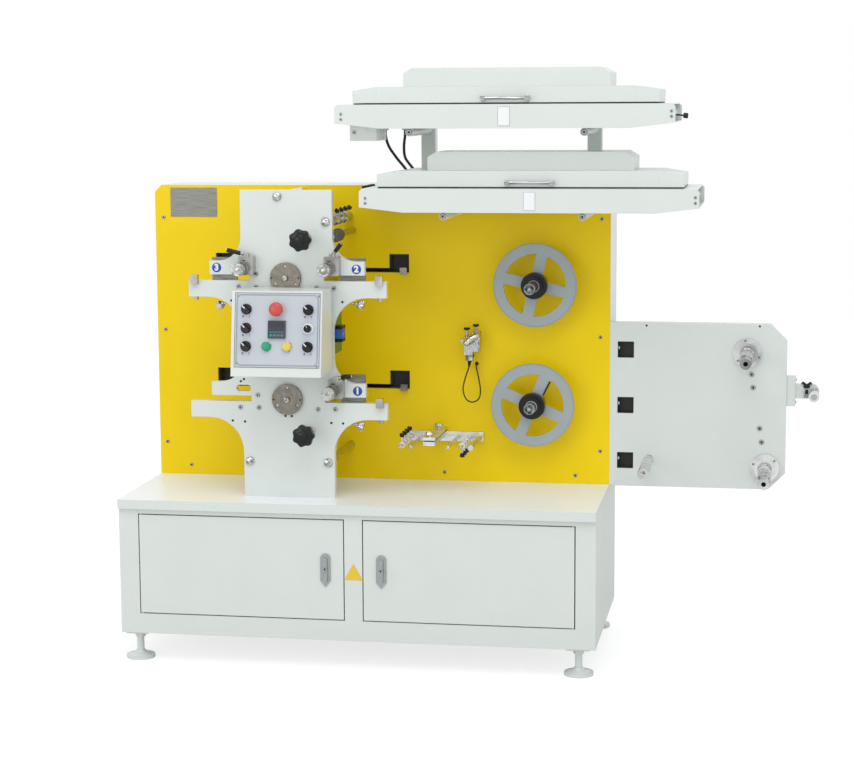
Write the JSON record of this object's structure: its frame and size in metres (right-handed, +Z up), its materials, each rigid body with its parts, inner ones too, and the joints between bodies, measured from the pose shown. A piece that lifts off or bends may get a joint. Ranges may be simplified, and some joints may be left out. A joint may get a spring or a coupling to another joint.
{
  "type": "flexographic printing press",
  "caption": "Narrow-web flexographic label press: cabinet with doors, yellow panel, print units, dryers with lids, rewind reels and a side arm with web spindles.",
  "frame": {"origin": "middle of the press's footprint box, on the floor", "axes": "+X along the cabinet towards the side arm, +Y from the front to the back, +Z up"},
  "size_m": [1.916, 0.6868, 1.64],
  "materials": {
    "pale_paint": "semi-gloss pale grey enamel",
    "yellow_paint": "glossy yellow enamel",
    "steel": "turned and ground steel",
    "dark_steel": "dark ground steel",
    "chrome": "polished chrome plate",
    "aluminium": "brushed anodised aluminium",
    "reel_paint": "grey enamel",
    "black_plastic": "moulded black plastic",
    "red_plastic": "moulded red plastic",
    "green_plastic": "moulded plastic",
    "controller_plastic": "dark blue-grey plastic",
    "board": "lacquered circuit board",
    "cable_rubber": "black cable jacket"
  },
  "bodies": {
    "press_frame": {"cabinet_shell": "pale_paint", "cabinet_front": "pale_paint", "table_top": "pale_paint", "levelling_feet": "pale_paint", "housing": "pale_paint", "yellow_panel": "yellow_paint", "nameplate": "aluminium", "cross_plate": "pale_paint", "tie_rods": "steel", "impression_drums": "steel", "bearing_covers": "steel", "star_knobs": "black_plastic", "control_box": "pale_paint", "control_panel": "aluminium", "emergency_stop": "red_plastic", "push_buttons": "green_plastic", "selector_switches": "black_plastic", "temperature_controller": "controller_plastic", "unit_adjusters": "steel", "unit_latches": "steel", "slide_plates": "dark_steel", "relay_board": "board", "reel_bearings": "steel", "web_sensor": "aluminium", "web_sensor_cable": "cable_rubber", "web_guide": "aluminium", "side_arm": "pale_paint", "arm_bearings": "aluminium", "edge_rail": "pale_paint", "edge_guide": "steel", "dryer_posts": "pale_paint", "terminal_box": "pale_paint", "upper_tray": "pale_paint", "lower_tray": "pale_paint", "left_dryer_cable": "cable_rubber", "right_dryer_cable": "cable_rubber"},
    "left_door": {"left_door": "pale_paint", "left_door_lock": "chrome"},
    "right_door": {"right_door": "pale_paint", "right_door_lock": "chrome"},
    "upper_lid": {"upper_lid": "pale_paint", "upper_lid_ends": "pale_paint", "upper_lamp_housing": "pale_paint", "upper_handle": "chrome"},
    "lower_lid": {"lower_lid": "pale_paint", "lower_lid_ends": "pale_paint", "lower_lamp_housing": "pale_paint", "lower_handle": "chrome"},
    "upper_reel": {"upper_reel": "reel_paint", "upper_reel_hub": "black_plastic"},
    "lower_reel": {"lower_reel": "reel_paint", "lower_reel_hub": "black_plastic"},
    "upper_spindle": {"upper_spindle": "steel"},
    "lower_spindle": {"lower_spindle": "steel"},
    "idler_roller": {"idler_roller": "aluminium"}
  },
  "joints": [
    {"name": "left_door_hinge", "type": "hinge", "parent": "press_frame", "child": "left_door", "pos_m": [-0.896, -0.26856, 0.278], "axis": [0, 0, -1], "range_deg": [0, 100]},
    {"name": "right_door_hinge", "type": "hinge", "parent": "press_frame", "child": "right_door", "pos_m": [0.31, -0.26856, 0.278], "axis": [0, 0, 1], "range_deg": [0, 100]},
    {"name": "upper_lid_hinge", "type": "hinge", "parent": "press_frame", "child": "upper_lid", "pos_m": [0.111, 0.09244, 1.55], "axis": [-1, 0, 0], "range_deg": [0, 75]},
    {"name": "lower_lid_hinge", "type": "hinge", "parent": "press_frame", "child": "lower_lid", "pos_m": [0.176, 0.09244, 1.325], "axis": [-1, 0, 0], "range_deg": [0, 8]},
    {"name": "upper_reel_spin", "type": "hinge", "parent": "press_frame", "child": "upper_reel", "pos_m": [0.165, 0.07244, 1.036], "axis": [0, -1, 0], "continuous": true},
    {"name": "lower_reel_spin", "type": "hinge", "parent": "press_frame", "child": "lower_reel", "pos_m": [0.159, 0.07244, 0.695], "axis": [0, -1, 0], "continuous": true},
    {"name": "upper_spindle_spin", "type": "hinge", "parent": "press_frame", "child": "upper_spindle", "pos_m": [0.758, 0.02744, 0.847], "axis": [0, -1, 0], "continuous": true},
    {"name": "lower_spindle_spin", "type": "hinge", "parent": "press_frame", "child": "lower_spindle", "pos_m": [0.811, 0.02744, 0.52], "axis": [0, -1, 0], "continuous": true},
    {"name": "idler_roller_spin", "type": "hinge", "parent": "press_frame", "child": "idler_roller", "pos_m": [0.485, -0.00256, 0.54], "axis": [0, -1, 0], "continuous": true}
  ]
}
